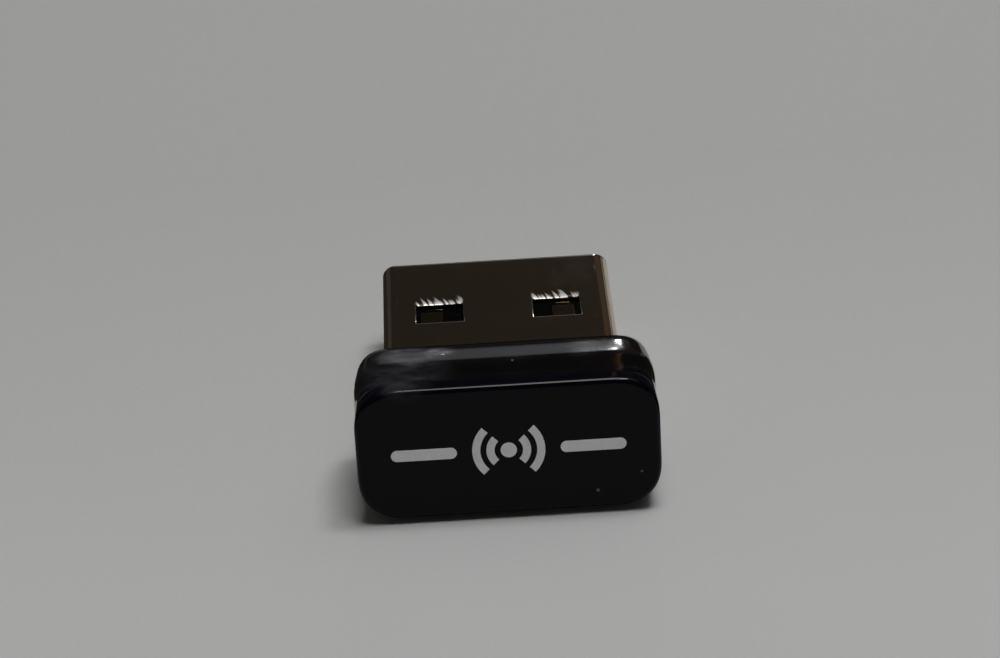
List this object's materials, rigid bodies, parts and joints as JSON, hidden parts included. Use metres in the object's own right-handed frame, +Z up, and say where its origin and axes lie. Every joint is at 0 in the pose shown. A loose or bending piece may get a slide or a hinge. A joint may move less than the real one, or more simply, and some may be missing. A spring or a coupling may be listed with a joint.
{
  "type": "usb wifi adapter",
  "caption": "Short glossy plastic wireless network adapter on a steel USB type A plug, with its board, radio chip and antenna inside.",
  "frame": {"origin": "centre of the plug where it leaves the body's rear face, which seats against the socket", "axes": "+Y along the plug to its tip, +X to the right seen from the front cap, +Z up, with the plug's contacts facing up"},
  "size_m": [0.015, 0.0186, 0.007],
  "materials": {
    "housing_plastic": "polished black moulded plastic with fine scratches",
    "cap_plastic": "polished black moulded plastic",
    "print_ink": "light grey pad print",
    "plated_steel": "bright nickel plating, lightly worn",
    "carrier_plastic": "black moulded insulator",
    "contact_gold": "gold plating",
    "board_laminate": "green solder mask",
    "copper": "etched copper",
    "chip_epoxy": "moulded epoxy",
    "solder": "bright solder",
    "ceramic": "fired ceramic",
    "lid_metal": "plated lid",
    "ferrite": "sintered ferrite",
    "capacitor_ceramic": "fired ceramic with tinned ends",
    "resistor_glaze": "black glaze with tinned ends"
  },
  "bodies": {
    "root": {"rear_housing": "housing_plastic", "front_cap": "cap_plastic", "front_mark": "print_ink", "plug_shell": "plated_steel", "contact_carrier": "carrier_plastic", "contact_vbus": "contact_gold", "contact_data_minus": "contact_gold", "contact_data_plus": "contact_gold", "contact_ground": "contact_gold", "circuit_board": "board_laminate", "antenna_trace": "copper", "wifi_chip": "chip_epoxy", "chip_solder_pads": "solder", "crystal_base": "ceramic", "crystal_lid": "lid_metal", "voltage_regulator": "chip_epoxy", "power_inductor": "ferrite", "ferrite_bead": "ferrite", "input_capacitor": "capacitor_ceramic", "output_capacitor": "capacitor_ceramic", "decoupling_capacitors": "capacitor_ceramic", "resistors": "resistor_glaze", "rf_matching_parts": "ceramic", "contact_solder_joints": "solder", "shell_solder_joints": "solder"}
  },
  "joints": []
}
